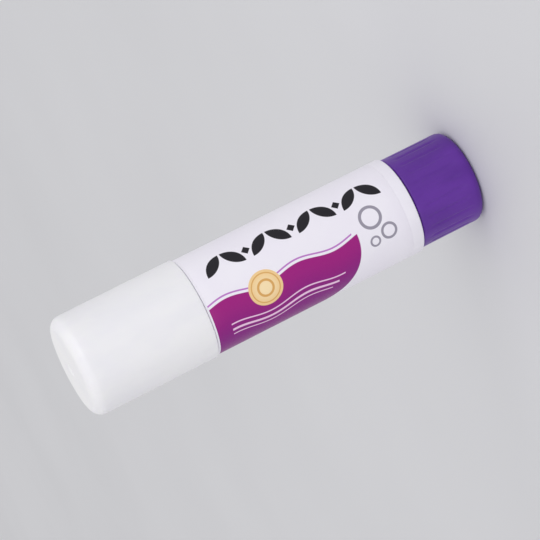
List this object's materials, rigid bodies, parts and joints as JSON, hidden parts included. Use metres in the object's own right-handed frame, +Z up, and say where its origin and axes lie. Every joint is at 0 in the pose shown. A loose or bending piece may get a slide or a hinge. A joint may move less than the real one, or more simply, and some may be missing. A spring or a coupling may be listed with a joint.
{
  "type": "glue stick",
  "caption": "Twist-up glue stick, closed: push-on cap, labelled barrel, and a knob whose threaded spindle raises a keyed carrier with the solid glue.",
  "frame": {"origin": "on the stick's axis, at the flat base of the twist knob that it stands on", "axes": "+Z up along the stick's axis, with the knob at the bottom and the cap at the top; the print's middle faces -Y and the label's seam +Y"},
  "size_m": [0.02, 0.02, 0.084],
  "materials": {
    "cap_plastic": "satin, translucent white moulding",
    "barrel_plastic": "satin white moulding",
    "label_film": "glossy printed film",
    "knob_plastic": "satin purple moulding",
    "screw_plastic": "natural white moulding",
    "carrier_plastic": "natural white moulding",
    "glue": "waxy off-white solid"
  },
  "bodies": {
    "barrel_body": {"barrel": "barrel_plastic", "wrap_label": "label_film"},
    "cap_body": {"cap": "cap_plastic"},
    "knob_body": {"twist_knob": "knob_plastic", "lead_screw": "screw_plastic"},
    "carrier_body": {"carrier": "carrier_plastic", "glue": "glue"}
  },
  "joints": [
    {"name": "cap_pull", "type": "slide", "parent": "barrel_body", "child": "cap_body", "axis": [0, 0, 1], "range_m": [0, 0.04]},
    {"name": "knob_turn", "type": "hinge", "parent": "barrel_body", "child": "knob_body", "pos_m": [0, 0, 0], "axis": [0, 0, 1], "range_deg": [0, 1314]},
    {"name": "carrier_slide", "type": "slide", "parent": "barrel_body", "child": "carrier_body", "axis": [0, 0, 1], "range_m": [0, 0.01825]}
  ],
  "couplings": [
    {"joint": "carrier_slide", "follows": "knob_turn", "m_per_rad": 0.00079577}
  ]
}
